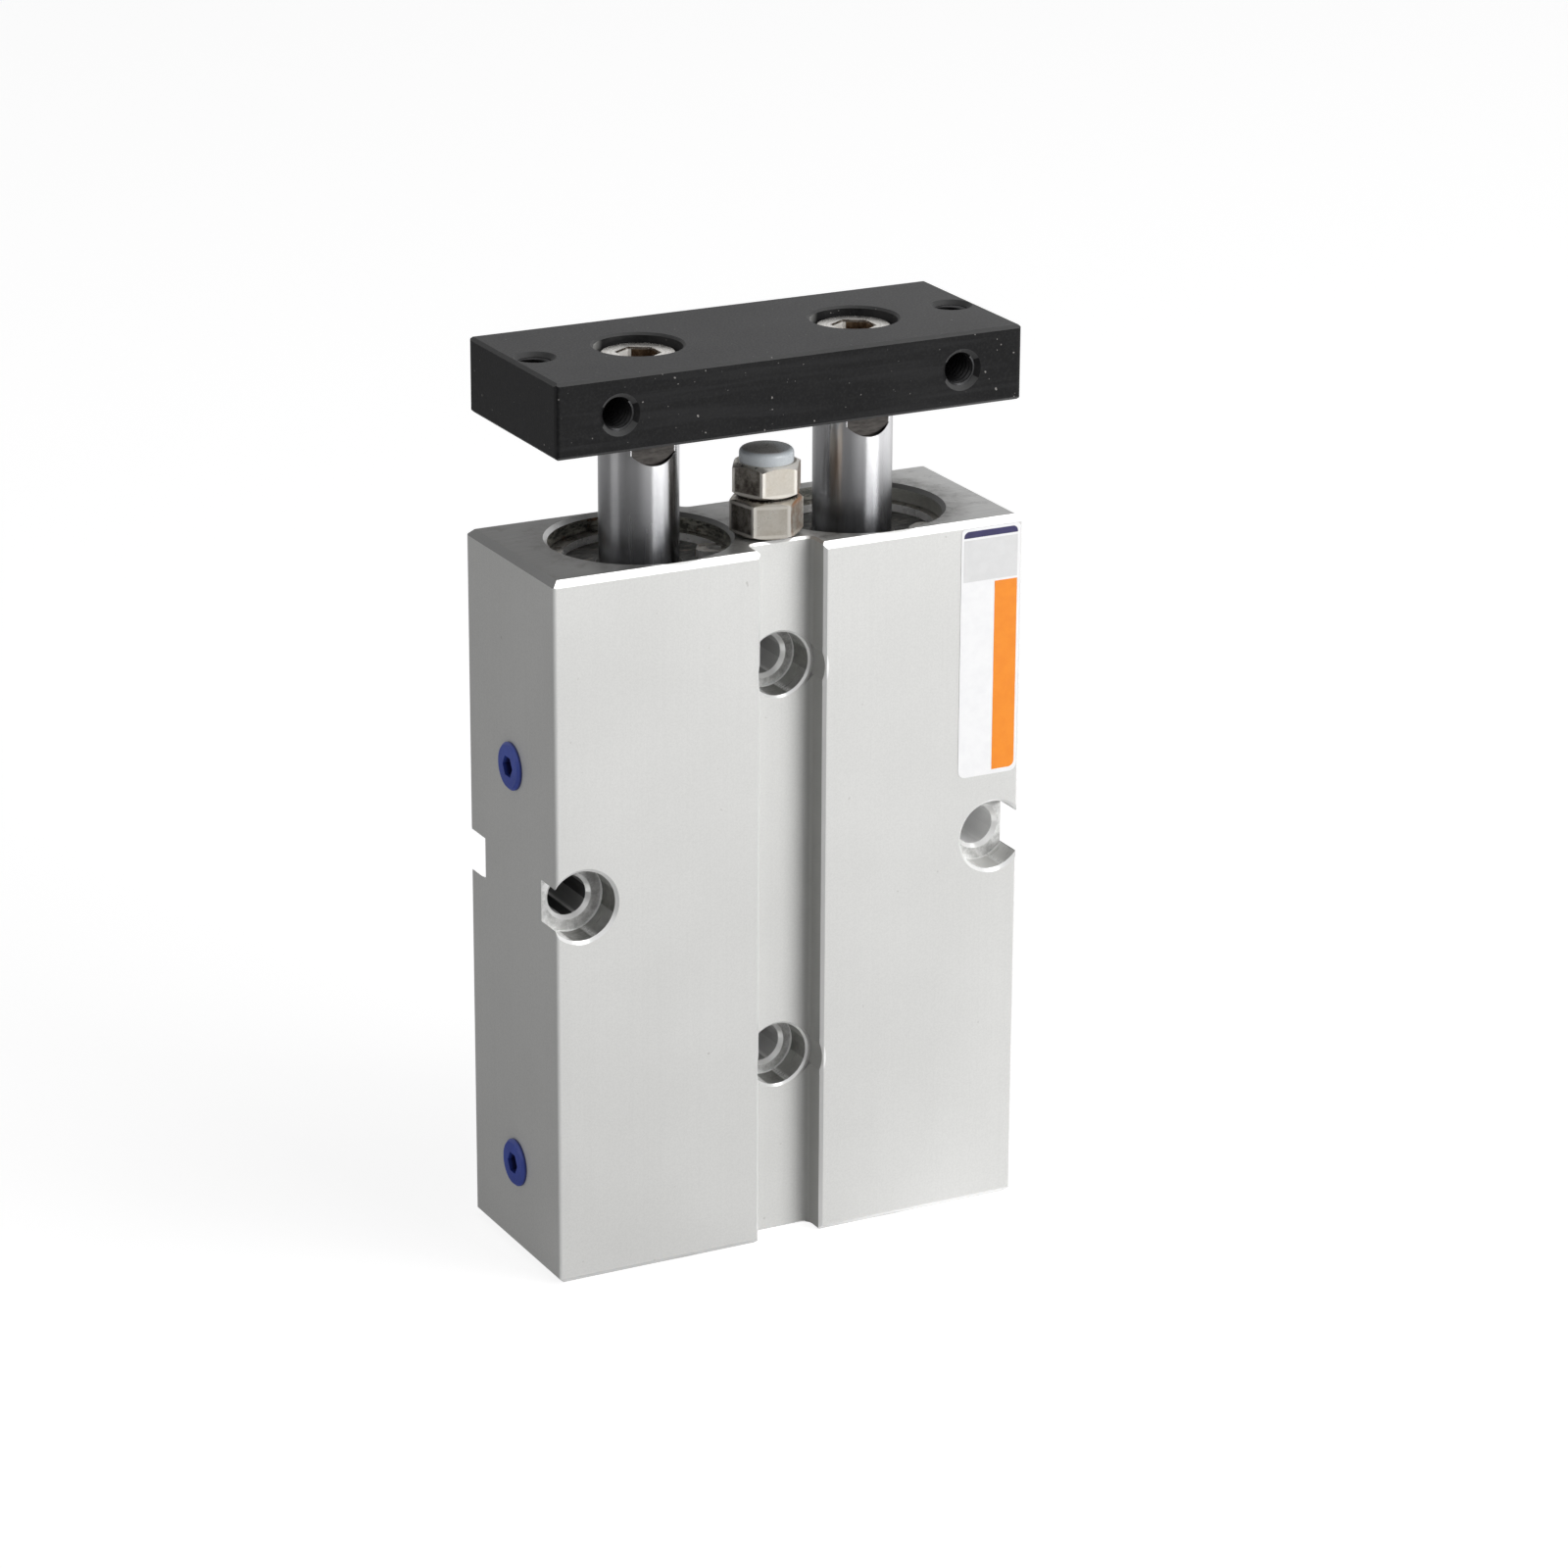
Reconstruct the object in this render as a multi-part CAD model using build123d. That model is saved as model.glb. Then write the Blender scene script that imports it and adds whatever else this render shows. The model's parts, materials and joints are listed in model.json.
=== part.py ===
from build123d import *
import math
import os

os.makedirs("parts", exist_ok=True)

# Guided pneumatic cylinder: two parallel rods carry one tooling plate out of a grooved barrel.
# Millimetres. +Z runs along the rods, the ports open on the -X side, the front face looks to -Y.
# The origin is the centre of the barrel's bottom face. The model stands at rest, with the
# tooling plate held clear of the stroke adjuster by adjuster_gap.

# Barrel section
body_width = 64.6
body_thickness = 25.4
body_corner = 0.4
body_chamfer = 0.8
groove_width = 8.7
groove_depth = 3.6
groove_corner = 1.0
groove_lip = 0.4

# Bores, and the wider mouths that take the covers
rod_pitch = 29.6
bore_diameter = 20.0
mouth_diameter = 22.6
mouth_chamfer = 0.5
front_mouth_depth = 6.0
rear_mouth_depth = 5.0

# Retaining rings and their grooves
ring_groove_diameter = 23.8
ring_thickness = 1.0
ring_inset = 2.2
ring_bow_width = 2.3
ring_end_width = 1.3
ring_gap = 3.0
ear_width = 3.6
ear_reach = 4.4
ear_hole_diameter = 1.8
ear_corner = 1.2
front_ear_angles = {"left": -30.0, "right": -57.0}
rear_ear_angle = 90.0

# Rods, stroke and the gap under the plate
rod_diameter = 10.0
stroke = 30.0
adjuster_gap = 3.6
adjuster_height = 11.2
spigot_diameter = 5.9
wrench_flats = 8.0
wrench_flat_height = 4.6
wrench_cutter_diameter = 7.8

# Piston stack
piston_diameter = 19.6
piston_land = 1.4
wear_ring_height = 4.0
wear_ring_thickness = 0.9
wear_ring_split = 0.5
wear_ring_split_angle = 30.0
magnet_height = 3.0
magnet_thickness = 2.4
seal_height = 2.8
seal_thickness = 1.9
seal_notch_depth = 0.9
seal_notch_width = 1.3
bumper_thickness = 1.9
bumper_proud = 0.9
bumper_outer_diameter = 17.0
bumper_inner_diameter = 12.4
rod_nut_flats = 10.0
rod_nut_height = 5.0

# Covers
rear_plug_length = 4.4
nose_diameter = 16.5
nose_length = 6.8
front_cover_reach = 30.6
packing_height = 3.2
packing_thickness = 2.1
packing_depth = 2.0
packing_notch_depth = 1.6
oring_section = 1.5
front_oring_depth = 12.5
rear_oring_height = 7.2
rear_end_gap = 0.5
front_end_gap = 0.2

# Ports, in the left side, and their plugs
lower_port_height = 11.9
upper_port_drop = 27.1
port_thread_diameter = 4.2
port_thread_depth = 5.2
port_mouth_diameter = 5.4
passage_diameter = 3.0
plug_flange_diameter = 6.1
plug_flange_thickness = 0.6
plug_length = 4.6
plug_socket_flats = 2.5
plug_socket_depth = 2.6

# Mounting holes through the barrel, counterbored from both faces
mount_hole_diameter = 5.2
mount_hole_chamfer = 0.5
mount_counterbore_depth = 4.4
side_counterbore_diameter = 9.0
side_counterbore_break = 0.4
centre_counterbore_diameter = 8.2
centre_counterbore_break = 0.3
centre_relief_diameter = 9.4
lower_hole_height = 24.0
upper_hole_drop = 16.0
side_hole_pitch = 57.4

# Stroke adjuster, between the rods
adjuster_setback = 5.4
adjuster_thread_diameter = 5.0
adjuster_thread_depth = 9.0
drill_point_angle = 31.0
locknut_flats = 8.0
locknut_height = 4.9
locknut_angle = -107.0
adjuster_head_flats = 8.0
adjuster_head_height = 4.1
adjuster_head_angle = -93.0
pad_diameter = 6.8
pad_stem_diameter = 3.0
pad_stem_length = 2.2
pad_crown = 0.35
pad_round = 0.65

# Tooling plate and its screws
plate_width = 63.4
plate_thickness = 25.0
plate_height = 9.5
plate_corner = 0.6
plate_chamfer = 0.4
plate_counterbore_diameter = 11.0
plate_counterbore_depth = 7.0
plate_counterbore_break = 0.3
plate_hole_diameter = 6.6
plate_tap_diameter = 4.2
plate_tap_mouth = 5.3
plate_top_tap_pitch = 57.2
plate_front_tap_pitch = 46.5
screw_diameter = 6.0
screw_length = 14.0
screw_head_diameter = 10.0
screw_head_height = 6.0
screw_head_break = 0.5
screw_socket_flats = 5.0
screw_socket_depth = 3.0
rod_tap_depth = 15.0

# Clearances
sliding_fit = 0.05
thread_fit = 0.05
seat_fit = 0.05
face_gap = 0.05
stacked_gap = 0.25
small_break = 0.3
cut_margin = 1.0

# Heights that follow from the stack of parts, with the rods fully retracted
rear_cover_top = rear_mouth_depth + rear_plug_length
nut_bottom = rear_cover_top + rear_end_gap
piston_bottom = nut_bottom + rod_nut_height
piston_length = 4 * piston_land + wear_ring_height + magnet_height + seal_height
piston_top = piston_bottom + piston_length
nose_bottom = piston_top + bumper_proud + stroke + front_end_gap
body_height = nose_bottom + front_cover_reach

# Heights and places that follow at rest
rest_lift = adjuster_gap
rod_top = body_height + adjuster_height + adjuster_gap + face_gap
plate_top = rod_top + plate_height
ring_top = body_height - ring_inset
cover_face = ring_top - ring_thickness
front_shoulder = body_height - front_mouth_depth
upper_port_height = body_height - upper_port_drop
upper_hole_height = body_height - upper_hole_drop
side_hole_height = (lower_hole_height + upper_hole_height) / 2
rod_places = {"left": -rod_pitch / 2, "right": rod_pitch / 2}
bore_radius = bore_diameter / 2
plug_radius = bore_radius - seat_fit
flange_radius = mouth_diameter / 2 - seat_fit
left_face = -body_width / 2


def turned(profile):
    """Solid of revolution about Z through (radius, height) points."""
    section = make_face(Polyline([(radius, 0, height) for radius, height in profile], close=True))
    return revolve(section, Axis.Z)


def tube(outer_radius, inner_radius, low, high):
    """Ring between two heights."""
    return turned([(inner_radius, low), (outer_radius, low), (outer_radius, high), (inner_radius, high)])


def rod_solid(radius, low, high, end_break):
    """Round bar along Z with both ends broken."""
    return turned(
        [
            (0, low),
            (radius - end_break, low),
            (radius, low + end_break),
            (radius, high - end_break),
            (radius - end_break, high),
            (0, high),
        ]
    )


def hexagon(flats):
    """Hexagon sketch with one flat facing +X."""
    return RegularPolygon(flats / 2, 6, major_radius=False, rotation=30)


def hex_prism(flats, low, high):
    """Hexagonal prism whose corners are turned off at both ends, as a nut's are."""
    prism = Pos(0, 0, low) * extrude(hexagon(flats), high - low)
    corner = flats / 2 / math.cos(math.radians(30))
    slope = (corner - flats / 2 + small_break) * math.tan(math.radians(30))
    inner = flats / 2 - small_break
    envelope = turned(
        [(0, low), (inner, low), (corner, low + slope), (corner, high - slope), (inner, high), (0, high)]
    )
    return prism & envelope


def along_y(solid):
    """Turn a solid made along Z so that it lies along Y."""
    return Rot(90, 0, 0) * solid


def along_x(solid):
    """Turn a solid made along Z so that its +Z end points to -X."""
    return Rot(0, -90, 0) * solid


def export(shape, name):
    """Write one piece to its own STEP file."""
    shape.label = name
    export_step(shape, "parts/" + name + ".step")


def chamfered_block(width, thickness, height, corner, edge_break):
    """Block with slightly rounded upright edges and mitred chamfers at both ends, standing on Z = 0."""
    block = extrude(RectangleRounded(width, thickness, corner), height)
    for across, plane in ((width, Plane.XZ), (thickness, Plane.YZ)):
        side = Pos(0, height / 2) * Rectangle(across, height)
        outline = chamfer(side.vertices(), edge_break)
        block &= extrude(plane * outline, width, both=True)
    return block


def groove_cutter():
    """Switch groove in one face, with a broken lip, and flared where it runs out of the ends."""
    half = groove_width / 2
    lip = Polygon(
        [(-half - groove_lip, 0), (half + groove_lip, 0), (half, groove_lip), (-half, groove_lip)],
        align=None,
    )
    section = RectangleRounded(groove_width, 2 * groove_depth, groove_corner) + lip
    cutter = extrude(section, body_height)
    grown = 2 * small_break
    mouth = RectangleRounded(groove_width + grown, 2 * groove_depth + grown, groove_corner + small_break)
    flare = extrude(mouth, small_break, taper=45)
    return cutter + flare + Pos(0, 0, body_height) * Rot(180, 0, 0) * flare


def mouth_outline(end, depth, inward):
    """Points of one stepped mouth from the end face to the bore, going inward."""
    radius = mouth_diameter / 2
    groove_near = end + inward * (ring_inset - face_gap)
    groove_far = end + inward * (ring_inset + ring_thickness + face_gap)
    return [
        (radius + mouth_chamfer, end),
        (radius, end + inward * mouth_chamfer),
        (radius, groove_near),
        (ring_groove_diameter / 2, groove_near),
        (ring_groove_diameter / 2, groove_far),
        (radius, groove_far),
        (radius, end + inward * depth),
        (bore_radius, end + inward * depth),
    ]


def bore_cutter():
    """One bore from end to end, with both mouths and both ring grooves."""
    rear = mouth_outline(0, rear_mouth_depth, 1)
    front = mouth_outline(body_height, front_mouth_depth, -1)
    return turned([(0, 0)] + rear + front[::-1] + [(0, body_height)])


def both_faces(solid):
    """Turn a solid made along Z to the front face, and add its twin at the rear face."""
    return along_y(solid) + along_y(Rot(180, 0, 0) * solid)


def mount_hole_cutter(face, diameter, edge_break):
    """Through hole along Y, counterbored from both faces, with every edge broken."""
    floor = face - mount_counterbore_depth
    reach = body_thickness / 2 + cut_margin
    hole = mount_hole_diameter / 2
    rim = diameter / 2 + edge_break
    half = [
        (0, 0),
        (hole, 0),
        (hole, floor - mount_hole_chamfer),
        (hole + mount_hole_chamfer, floor),
        (diameter / 2, floor),
        (diameter / 2, face - edge_break),
        (rim, face),
        (rim, reach),
        (0, reach),
    ]
    return both_faces(turned(half))


def centre_hole_cutter():
    """Mounting hole at the grooves' floors, with relief for the screw head in the groove walls."""
    groove_floor = body_thickness / 2 - groove_depth
    relief = tube(centre_relief_diameter / 2, 0, groove_floor, body_thickness / 2 + cut_margin)
    hole = mount_hole_cutter(groove_floor, centre_counterbore_diameter, centre_counterbore_break)
    return hole + both_faces(relief)


def side_hole_cutter():
    """Mounting hole at the barrel's edge, whose counterbores break out through its side."""
    return mount_hole_cutter(body_thickness / 2, side_counterbore_diameter, side_counterbore_break)


def port_cutter():
    """Tapped port from the left side with its air passage on to the right-hand bore."""
    thread = port_thread_diameter / 2
    mouth = port_mouth_diameter / 2
    passage = passage_diameter / 2
    inner_end = rod_pitch / 2 - bore_radius + cut_margin
    depth = inner_end - left_face
    profile = [
        (0, 0),
        (mouth, 0),
        (thread, -(mouth - thread)),
        (thread, -port_thread_depth),
        (passage, -port_thread_depth - (thread - passage)),
        (passage, -depth),
        (0, -depth),
    ]
    return Pos(left_face, 0, 0) * along_x(turned(profile))


def adjuster_hole_cutter():
    """Blind threaded hole for the stroke adjuster."""
    radius = adjuster_thread_diameter / 2
    bottom = body_height - adjuster_thread_depth
    drill_point = radius * math.tan(math.radians(drill_point_angle))
    profile = [
        (0, bottom - drill_point),
        (radius, bottom),
        (radius, body_height - small_break),
        (radius + small_break, body_height),
        (0, body_height),
    ]
    return Pos(0, -adjuster_setback, 0) * turned(profile)


def body():
    """Extruded barrel with both bores, both grooves, mounting holes, ports and adjuster hole."""
    block = chamfered_block(body_width, body_thickness, body_height, body_corner, body_chamfer)
    block -= Pos(0, -body_thickness / 2, 0) * groove_cutter()
    block -= Pos(0, body_thickness / 2, 0) * Rot(0, 0, 180) * groove_cutter()
    for place in rod_places.values():
        block -= Pos(place, 0, 0) * bore_cutter()
    for height in (lower_hole_height, upper_hole_height):
        block -= Pos(0, 0, height) * centre_hole_cutter()
    for place in (-side_hole_pitch / 2, side_hole_pitch / 2):
        block -= Pos(place, 0, side_hole_height) * side_hole_cutter()
    for height in (lower_port_height, upper_port_height):
        block -= Pos(0, 0, height) * port_cutter()
    return block - adjuster_hole_cutter()


def oring(height):
    """Ring seal squeezed between a cover's groove and the bore."""
    section = oring_section / 2
    centre = bore_radius - seat_fit / 2 - section
    return Pos(0, 0, height) * Torus(centre, section)


def oring_groove(height):
    """Groove in a cover for its ring seal."""
    floor = bore_radius - oring_section - seat_fit
    half_width = oring_section / 2 + seat_fit
    return tube(bore_radius + cut_margin, floor, height - half_width, height + half_width)


def front_cover():
    """Rod cover: flange under the ring, plug in the bore, nose past the port, bearing for the rod."""
    bearing = rod_diameter / 2 + sliding_fit
    nose_top = nose_bottom + nose_length
    cover = turned(
        [
            (bearing + small_break, nose_bottom),
            (nose_diameter / 2 - small_break, nose_bottom),
            (nose_diameter / 2, nose_bottom + small_break),
            (nose_diameter / 2, nose_top),
            (plug_radius - small_break, nose_top),
            (plug_radius, nose_top + small_break),
            (plug_radius, front_shoulder),
            (flange_radius, front_shoulder),
            (flange_radius, cover_face - small_break),
            (flange_radius - small_break, cover_face),
            (bearing + small_break, cover_face),
            (bearing, cover_face - small_break),
            (bearing, nose_bottom + small_break),
        ]
    )
    cover -= oring_groove(body_height - front_oring_depth)
    high = cover_face - packing_depth
    return cover - tube(bearing + packing_thickness + seat_fit, 0, high - packing_height, high)


def rod_packing():
    """Lipped rod seal inside the front cover, open towards the pressure side."""
    inner = rod_diameter / 2 + sliding_fit
    outer = inner + packing_thickness
    high = cover_face - packing_depth - seat_fit
    low = high - packing_height + 2 * seat_fit
    middle = (inner + outer) / 2
    return turned(
        [
            (inner, high),
            (outer, high),
            (outer, low + small_break),
            (outer - small_break, low),
            (middle, low + packing_notch_depth),
            (inner + small_break, low),
            (inner, low + small_break),
        ]
    )


def rear_cover():
    """Blind end cover with a flange under its ring and a ring seal in the bore."""
    low = ring_inset + ring_thickness
    cover = turned(
        [
            (0, low),
            (flange_radius - small_break, low),
            (flange_radius, low + small_break),
            (flange_radius, rear_mouth_depth),
            (plug_radius, rear_mouth_depth),
            (plug_radius, rear_cover_top - small_break),
            (plug_radius - small_break, rear_cover_top),
            (0, rear_cover_top),
        ]
    )
    return cover - oring_groove(rear_oring_height)


def circlip(ear_angle):
    """Internal retaining ring, widest opposite its gap, with two drilled ears at the gap."""
    outer = ring_groove_diameter / 2 - seat_fit
    inner = outer - (ring_bow_width + ring_end_width) / 2
    shift = (ring_bow_width - ring_end_width) / 2
    band = Circle(outer) - Pos(shift, 0) * Circle(inner)
    ear_centre = outer - ear_reach / 2
    ear_offset = ring_gap / 2 + ear_width / 2
    ear_place = math.sqrt(ear_centre**2 - ear_offset**2)
    for side in (-1, 1):
        band += Pos(ear_place, side * ear_offset) * RectangleRounded(ear_reach, ear_width, ear_corner)
    band &= Circle(outer)
    band -= Pos(outer, 0) * Rectangle(2 * ear_reach, ring_gap)
    for side in (-1, 1):
        band -= Pos(ear_place, side * ear_offset) * Circle(ear_hole_diameter / 2)
    return Rot(0, 0, ear_angle) * extrude(band, ring_thickness)


def port_plug(height):
    """Push-in port plug: thin flange, stem and hexagonal recess."""
    stem = port_thread_diameter / 2 - thread_fit
    flange = plug_flange_diameter / 2
    round_off = plug_flange_thickness / 2
    plug = turned(
        [
            (0, -plug_length),
            (stem - small_break, -plug_length),
            (stem, -plug_length + small_break),
            (stem, 0),
            (flange, 0),
            (flange, plug_flange_thickness - round_off),
            (flange - round_off, plug_flange_thickness),
            (0, plug_flange_thickness),
        ]
    )
    socket = extrude(hexagon(plug_socket_flats), plug_socket_depth + cut_margin)
    plug -= Pos(0, 0, plug_flange_thickness - plug_socket_depth) * socket
    return Pos(left_face, 0, height) * along_x(plug)


def locknut():
    """Nut that locks the adjuster on the barrel's top face."""
    low = body_height + face_gap
    nut = hex_prism(locknut_flats, low, low + locknut_height)
    nut -= tube(adjuster_thread_diameter / 2, 0, low - cut_margin, low + locknut_height + cut_margin)
    return Pos(0, -adjuster_setback, 0) * Rot(0, 0, locknut_angle) * nut


def adjuster_bolt():
    """Stroke adjuster: hexagon head over the locknut, threaded shank, hole for the pad's stem."""
    head_low = body_height + face_gap + locknut_height + stacked_gap
    head_high = head_low + adjuster_head_height
    shank = adjuster_thread_diameter / 2 - thread_fit
    tip = body_height - adjuster_thread_depth + small_break
    pad_hole_floor = head_high - pad_stem_length - seat_fit
    bolt = rod_solid(shank, tip, head_low + cut_margin, small_break)
    bolt += hex_prism(adjuster_head_flats, head_low, head_high)
    bolt -= tube(pad_stem_diameter / 2 + seat_fit, 0, pad_hole_floor, head_high + cut_margin)
    return Pos(0, -adjuster_setback, 0) * Rot(0, 0, adjuster_head_angle) * bolt


def adjuster_pad():
    """Plastic pad on the adjuster, which the plate lands on: short wall, round shoulder, low dome."""
    low = body_height + face_gap + locknut_height + stacked_gap + adjuster_head_height
    high = body_height + adjuster_height
    rim = high - pad_crown
    edge = pad_diameter / 2
    stem = pad_stem_diameter / 2
    foot = low - pad_stem_length
    dome_radius = (edge**2 + pad_crown**2) / (2 * pad_crown)
    half_angle = math.asin(edge / dome_radius) / 2
    bend = (dome_radius * math.sin(half_angle), 0, high - dome_radius * (1 - math.cos(half_angle)))
    outline = Polyline(
        [(0, 0, high), (0, 0, foot), (stem, 0, foot), (stem, 0, low), (edge, 0, low), (edge, 0, rim)]
    )
    outline += ThreePointArc((edge, 0, rim), bend, (0, 0, high))
    pad = revolve(make_face(outline), Axis.Z)
    circles = pad.edges().filter_by(lambda edge: edge.is_closed)
    pad = fillet(circles.sort_by(Axis.Z)[-1], pad_round)
    return Pos(0, -adjuster_setback, 0) * pad


def piston_rod():
    """Rod with a spigot for the piston, wrench flats under the plate and a tapped top end."""
    radius = rod_diameter / 2
    spigot = spigot_diameter / 2
    shoulder = piston_top + rest_lift
    rod = turned(
        [
            (0, nut_bottom + rest_lift),
            (spigot - small_break, nut_bottom + rest_lift),
            (spigot, nut_bottom + rest_lift + small_break),
            (spigot, shoulder),
            (radius, shoulder),
            (radius, rod_top - small_break),
            (radius - small_break, rod_top),
            (0, rod_top),
        ]
    )
    cutter_radius = wrench_cutter_diameter / 2
    arc_height = rod_top - wrench_flat_height + cutter_radius
    for side in (-1, 1):
        slot = Pos(0, arc_height) * Circle(cutter_radius)
        slot += Pos(0, arc_height + radius) * Rectangle(wrench_cutter_diameter, 2 * radius)
        wall = Plane.XZ.offset(side * (wrench_flats / 2)) * slot
        rod -= extrude(wall, side * radius)
    hole = screw_diameter / 2 + thread_fit
    return rod - tube(hole, 0, rod_top - rod_tap_depth, rod_top + cut_margin)


def piston():
    """Piston with three grooves and a seat for the front bumper."""
    radius = piston_diameter / 2
    low = piston_bottom + rest_lift
    high = piston_top + rest_lift
    blank = rod_solid(radius, low, high, small_break)
    blank -= tube(spigot_diameter / 2 + seat_fit, 0, low - cut_margin, high + cut_margin)
    for ring_low, height, thickness in piston_grooves():
        floor = bore_radius - sliding_fit - thickness - seat_fit
        blank -= tube(radius + cut_margin, floor, ring_low, ring_low + height)
    seat = bumper_thickness - bumper_proud
    outer = bumper_outer_diameter / 2 + seat_fit
    inner = bumper_inner_diameter / 2 - seat_fit
    return blank - tube(outer, inner, high - seat, high + cut_margin)


def piston_grooves():
    """Height above the piston's base, height and thickness of wear ring, magnet and seal."""
    low = piston_bottom + rest_lift + piston_land
    wear_ring = (low, wear_ring_height, wear_ring_thickness)
    magnet = (low + wear_ring_height + piston_land, magnet_height, magnet_thickness)
    seal_low = low + wear_ring_height + magnet_height + 2 * piston_land
    return [wear_ring, magnet, (seal_low, seal_height, seal_thickness)]


def groove_ring(index, outer_radius):
    """Plain ring that fills one piston groove out to a radius."""
    low, height, thickness = piston_grooves()[index]
    inner = bore_radius - sliding_fit - thickness
    return tube(outer_radius, inner, low + seat_fit, low + height - seat_fit)


def wear_ring():
    """Split guide ring that carries the piston in the bore."""
    ring = groove_ring(0, bore_radius - sliding_fit)
    low, height, thickness = piston_grooves()[0]
    split = Box(2 * (thickness + cut_margin), wear_ring_split, 2 * (height + cut_margin))
    return ring - Pos(bore_radius, 0, low + height / 2) * Rot(wear_ring_split_angle, 0, 0) * split


def magnet():
    """Switch magnet, set back from the bore."""
    return groove_ring(1, piston_diameter / 2 - seat_fit)


def piston_seal():
    """Piston seal with a V groove round its face, which leaves two lips."""
    low, height, _ = piston_grooves()[2]
    face = bore_radius - sliding_fit
    middle = low + height / 2
    half = seal_notch_width / 2
    notch = turned(
        [
            (face - seal_notch_depth, middle),
            (face, middle - half),
            (face + cut_margin, middle - half),
            (face + cut_margin, middle + half),
            (face, middle + half),
        ]
    )
    return groove_ring(2, face) - notch


def piston_bumper():
    """Rubber ring on the piston's front face, which meets the front cover at full stroke."""
    high = piston_top + rest_lift + bumper_proud
    return tube(bumper_outer_diameter / 2, bumper_inner_diameter / 2, high - bumper_thickness, high)


def rod_nut():
    """Nut that clamps the piston against the rod's shoulder."""
    low = nut_bottom + rest_lift
    high = low + rod_nut_height
    nut = hex_prism(rod_nut_flats, low, high)
    return nut - tube(spigot_diameter / 2 + thread_fit, 0, low - cut_margin, high + cut_margin)


def tap_cutter(length):
    """Tapped through hole along Z, centred, with both mouths countersunk."""
    tap = plate_tap_diameter / 2
    mouth = plate_tap_mouth / 2
    half = length / 2
    depth = mouth - tap
    return turned(
        [
            (0, -half),
            (mouth, -half),
            (tap, -half + depth),
            (tap, half - depth),
            (mouth, half),
            (0, half),
        ]
    )


def tooling_plate():
    """Plate across both rods, counterbored for its screws and tapped on top and in front."""
    plate = chamfered_block(plate_width, plate_thickness, plate_height, plate_corner, plate_chamfer)
    plate = Pos(0, 0, rod_top) * plate
    middle = rod_top + plate_height / 2
    counterbore = plate_counterbore_diameter / 2
    edge = plate_counterbore_break
    for place in rod_places.values():
        plate -= Pos(place, 0, 0) * turned(
            [
                (0, rod_top - cut_margin),
                (plate_hole_diameter / 2, rod_top - cut_margin),
                (plate_hole_diameter / 2, plate_top - plate_counterbore_depth),
                (counterbore, plate_top - plate_counterbore_depth),
                (counterbore, plate_top - edge),
                (counterbore + edge, plate_top),
                (0, plate_top),
            ]
        )
    for side in (-1, 1):
        plate -= Pos(side * plate_top_tap_pitch / 2, 0, middle) * tap_cutter(plate_height)
        plate -= Pos(side * plate_front_tap_pitch / 2, 0, middle) * along_y(tap_cutter(plate_thickness))
    return plate


def plate_screw():
    """Socket head cap screw that holds the plate on one rod."""
    head_low = plate_top - plate_counterbore_depth
    head_high = head_low + screw_head_height
    head = screw_head_diameter / 2
    shank = screw_diameter / 2
    tip = head_low - screw_length
    screw = turned(
        [
            (0, tip),
            (shank - small_break, tip),
            (shank, tip + small_break),
            (shank, head_low),
            (head, head_low),
            (head, head_high - screw_head_break),
            (head - screw_head_break, head_high),
            (0, head_high),
        ]
    )
    socket = extrude(hexagon(screw_socket_flats), screw_socket_depth + cut_margin)
    return screw - Pos(0, 0, head_high - screw_socket_depth) * socket


def export_pairs():
    """Write every piece that is there once for each rod."""
    pieces = {
        "front_cover": front_cover(),
        "rod_packing": rod_packing(),
        "front_cover_oring": oring(body_height - front_oring_depth),
        "rear_cover": rear_cover(),
        "rear_cover_oring": oring(rear_oring_height),
        "piston_rod": piston_rod(),
        "piston": piston(),
        "piston_wear_ring": wear_ring(),
        "piston_magnet": magnet(),
        "piston_seal": piston_seal(),
        "piston_bumper": piston_bumper(),
        "rod_nut": rod_nut(),
        "plate_screw": plate_screw(),
    }
    for side, place in rod_places.items():
        for name, piece in pieces.items():
            export(Pos(place, 0, 0) * piece, name + "_" + side)
        export(Pos(place, 0, cover_face) * circlip(front_ear_angles[side]), "front_circlip_" + side)
        export(Pos(place, 0, ring_inset) * circlip(rear_ear_angle), "rear_circlip_" + side)


export(body(), "body")
export(tooling_plate(), "tooling_plate")
export(port_plug(lower_port_height), "port_plug_lower")
export(port_plug(upper_port_height), "port_plug_upper")
export(adjuster_bolt(), "adjuster_bolt")
export(locknut(), "adjuster_locknut")
export(adjuster_pad(), "adjuster_pad")
export_pairs()
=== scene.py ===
import bmesh
import bpy
import json
import math
from mathutils import Matrix, Vector


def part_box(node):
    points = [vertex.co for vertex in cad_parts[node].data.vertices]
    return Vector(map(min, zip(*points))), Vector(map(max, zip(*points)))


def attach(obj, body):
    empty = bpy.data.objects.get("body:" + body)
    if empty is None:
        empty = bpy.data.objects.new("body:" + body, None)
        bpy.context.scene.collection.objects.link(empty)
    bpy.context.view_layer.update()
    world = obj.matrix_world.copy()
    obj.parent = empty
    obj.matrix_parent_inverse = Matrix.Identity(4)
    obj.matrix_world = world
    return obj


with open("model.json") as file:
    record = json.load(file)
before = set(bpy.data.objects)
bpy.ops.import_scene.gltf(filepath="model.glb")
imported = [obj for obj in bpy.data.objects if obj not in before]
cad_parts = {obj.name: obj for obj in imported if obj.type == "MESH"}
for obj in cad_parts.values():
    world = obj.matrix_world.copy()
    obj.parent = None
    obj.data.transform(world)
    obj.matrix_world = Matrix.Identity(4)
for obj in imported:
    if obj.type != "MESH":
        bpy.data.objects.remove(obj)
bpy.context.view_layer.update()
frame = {"nodes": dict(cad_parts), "record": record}

# Units are metres throughout, and MM turns a number of millimetres into metres.
MM = 0.001

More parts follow.
